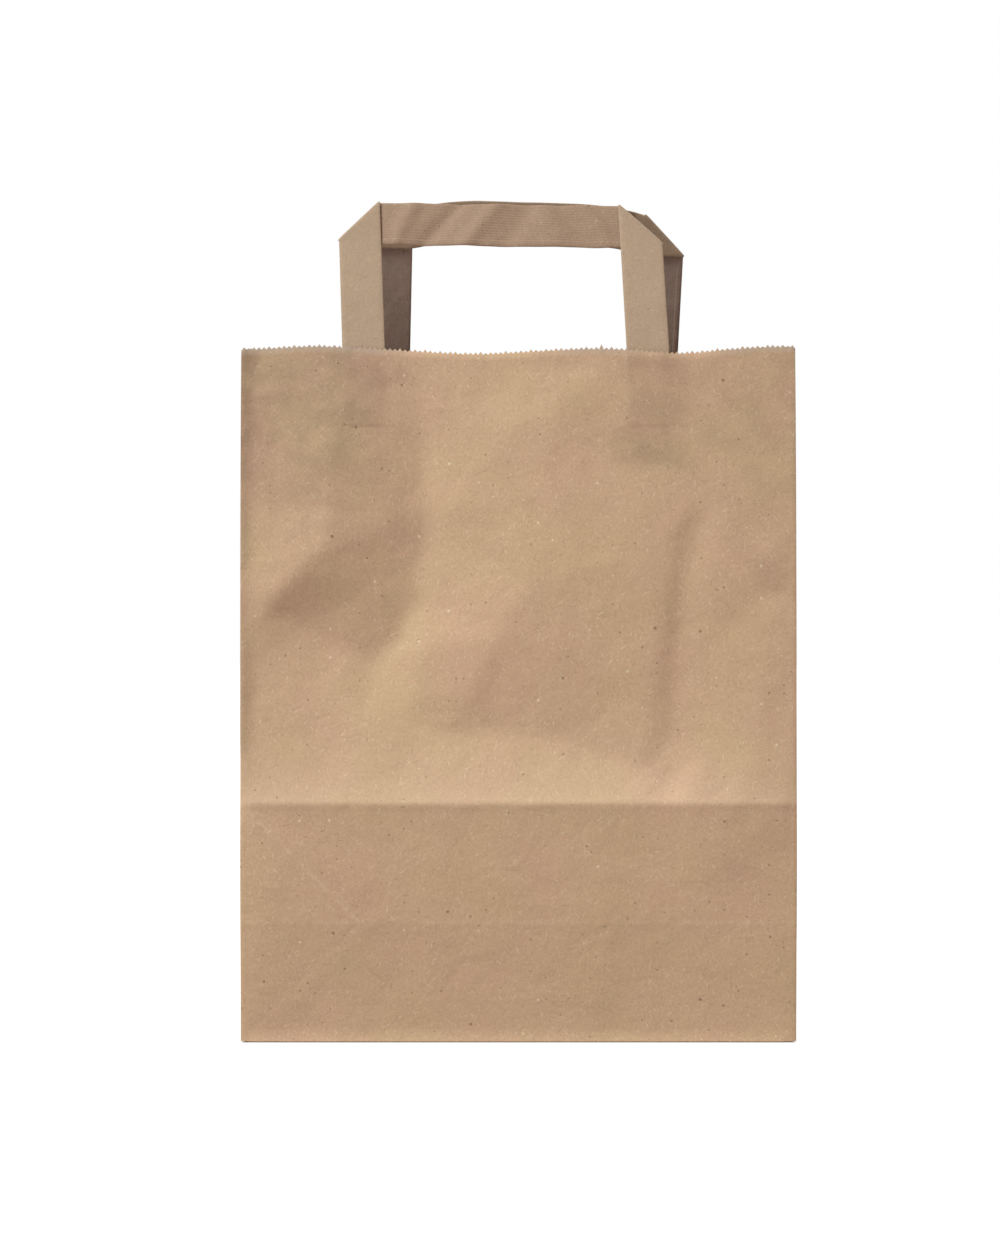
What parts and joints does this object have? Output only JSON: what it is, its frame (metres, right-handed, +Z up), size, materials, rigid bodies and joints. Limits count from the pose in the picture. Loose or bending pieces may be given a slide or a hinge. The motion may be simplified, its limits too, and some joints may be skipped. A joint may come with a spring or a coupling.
{
  "type": "paper carrier bag",
  "caption": "Kraft paper carrier bag with side gussets, a block bottom and flat folded paper handles glued inside the mouth; it stands open.",
  "frame": {"origin": "middle of the block bottom, on the surface that the bag stands on", "axes": "+Z up along the bag's height, +X along its width to the right of the near panel, -Y towards the near panel"},
  "size_m": [0.2208, 0.1019, 0.3405],
  "materials": {
    "kraft_sheet": "matt brown kraft with fibres and soft creases",
    "kraft_strap": "matt brown kraft, faintly ribbed",
    "kraft_patch": "matt brown kraft"
  },
  "bodies": {
    "root": {"bag_body": "kraft_sheet", "front_handle": "kraft_strap", "rear_handle": "kraft_strap", "front_handle_patch": "kraft_patch", "rear_handle_patch": "kraft_patch"}
  },
  "joints": []
}
